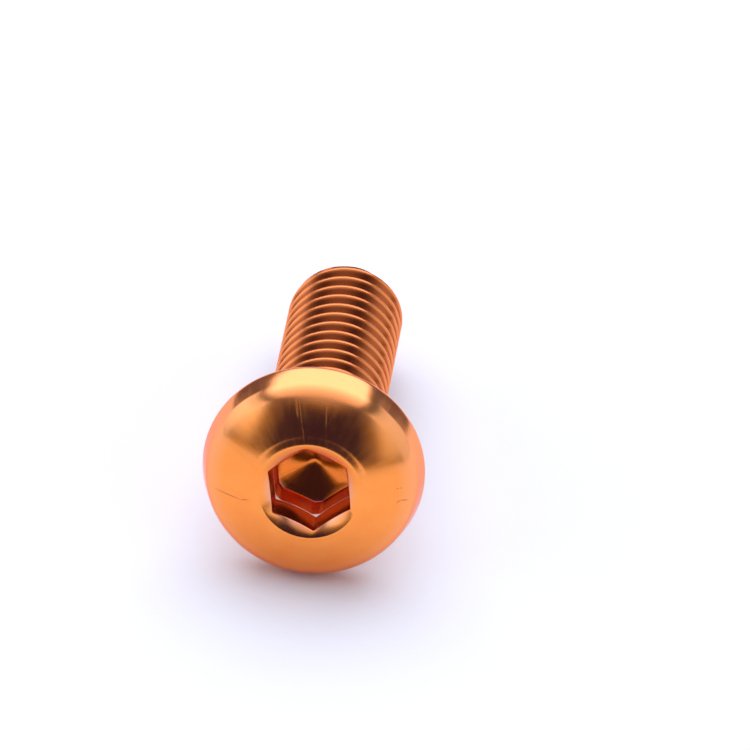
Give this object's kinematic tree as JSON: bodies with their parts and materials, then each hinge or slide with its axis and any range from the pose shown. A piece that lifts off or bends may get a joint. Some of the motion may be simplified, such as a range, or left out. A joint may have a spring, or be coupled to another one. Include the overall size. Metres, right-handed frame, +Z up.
{
  "type": "button head socket screw",
  "caption": "Button-head machine screw with a countersunk hexagon socket and a rolled right-hand thread, in bright orange anodised aluminium.",
  "frame": {"origin": "centre of the bottom of the bounding box, on the surface that the screw lies on", "axes": "+Z up from that surface, and +Y level, from the head towards the end of the shank. The screw's own axis lies in the YZ plane and dips 8.6 degrees below +Y, because the wide head lifts its end."},
  "size_m": [0.0074, 0.0144, 0.0073],
  "materials": {
    "anodised_aluminium": "bright orange anodised, near mirror on the head and satin in the thread"
  },
  "bodies": {
    "root": {"screw": "anodised_aluminium"}
  },
  "joints": []
}
